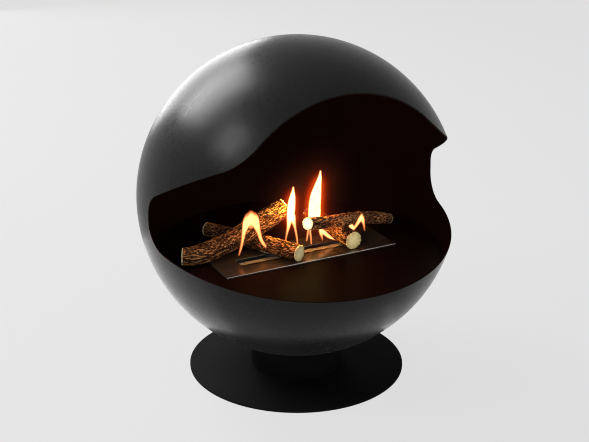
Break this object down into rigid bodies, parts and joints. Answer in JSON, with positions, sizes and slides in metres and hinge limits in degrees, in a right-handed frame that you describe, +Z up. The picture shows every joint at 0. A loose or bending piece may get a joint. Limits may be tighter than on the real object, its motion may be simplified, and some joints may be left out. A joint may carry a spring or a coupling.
{
  "type": "bioethanol fireplace",
  "caption": "Floor-standing ball fireplace with a wide cut-out mouth, a slot burner with a sliding damper on a round hearth, loose ceramic logs and a round base.",
  "frame": {"origin": "on the floor, under the middle of the round base", "axes": "+Z up, -Y to the front where the mouth opens, +X along the burner to the viewer's right"},
  "size_m": [0.67, 0.653, 0.7245],
  "materials": {
    "rubber_black": "matt sheet rubber",
    "coated_foot": "satin black powder coat",
    "zinc_fasteners": "bright zinc plate",
    "coated_ball": "fine-textured graphite powder coat",
    "coated_hearth": "satin black heat-proof coat",
    "dark_steel": "satin steel, darkened by heat",
    "stainless": "plain stainless sheet",
    "ceramic_wool": "white ceramic wool",
    "ceramic_bark": "moulded ceramic bark, pale end faces"
  },
  "bodies": {
    "stand": {"floor_pad": "rubber_black", "base_plate": "coated_foot", "base_screws": "zinc_fasteners", "neck_flange": "coated_foot", "neck_tube": "coated_foot", "neck_dish": "coated_foot", "saddle_plate": "coated_ball", "saddle_bolts": "zinc_fasteners", "saddle_washers": "zinc_fasteners", "saddle_nuts": "zinc_fasteners", "upper_shell": "coated_ball", "lower_shell": "coated_ball", "hearth_brackets": "coated_hearth"},
    "hearth": {"hearth_plate": "coated_hearth"},
    "burner": {"burner_plate": "dark_steel", "burner_box": "stainless", "fuel_tank": "stainless", "fibre_pad": "ceramic_wool", "mesh_plate": "stainless", "damper_rails": "dark_steel"},
    "damper": {"damper_slide": "dark_steel"},
    "back_left_log": {"log_a": "ceramic_bark"},
    "left_floor_log": {"log_b": "ceramic_bark"},
    "front_right_log": {"log_c": "ceramic_bark"},
    "right_floor_log": {"log_d": "ceramic_bark"}
  },
  "joints": [
    {"name": "hearth_lift", "type": "slide", "parent": "stand", "child": "hearth", "axis": [0, 0, 1], "range_m": [0, 0.06]},
    {"name": "burner_lift", "type": "slide", "parent": "hearth", "child": "burner", "axis": [0, 0, 1], "range_m": [0, 0.07]},
    {"name": "damper_travel", "type": "slide", "parent": "burner", "child": "damper", "axis": [0, 1, 0], "range_m": [-0.017, 0.015]},
    {"name": "left_floor_log_lift", "type": "slide", "parent": "burner", "child": "left_floor_log", "axis": [0, 0, 1], "range_m": [0, 0.05]},
    {"name": "back_left_log_lift", "type": "slide", "parent": "left_floor_log", "child": "back_left_log", "axis": [0, 0, 1], "range_m": [0, 0.05]},
    {"name": "right_floor_log_lift", "type": "slide", "parent": "burner", "child": "right_floor_log", "axis": [0, 0, 1], "range_m": [0, 0.05]},
    {"name": "front_right_log_lift", "type": "slide", "parent": "right_floor_log", "child": "front_right_log", "axis": [0, 0, 1], "range_m": [0, 0.05]}
  ]
}
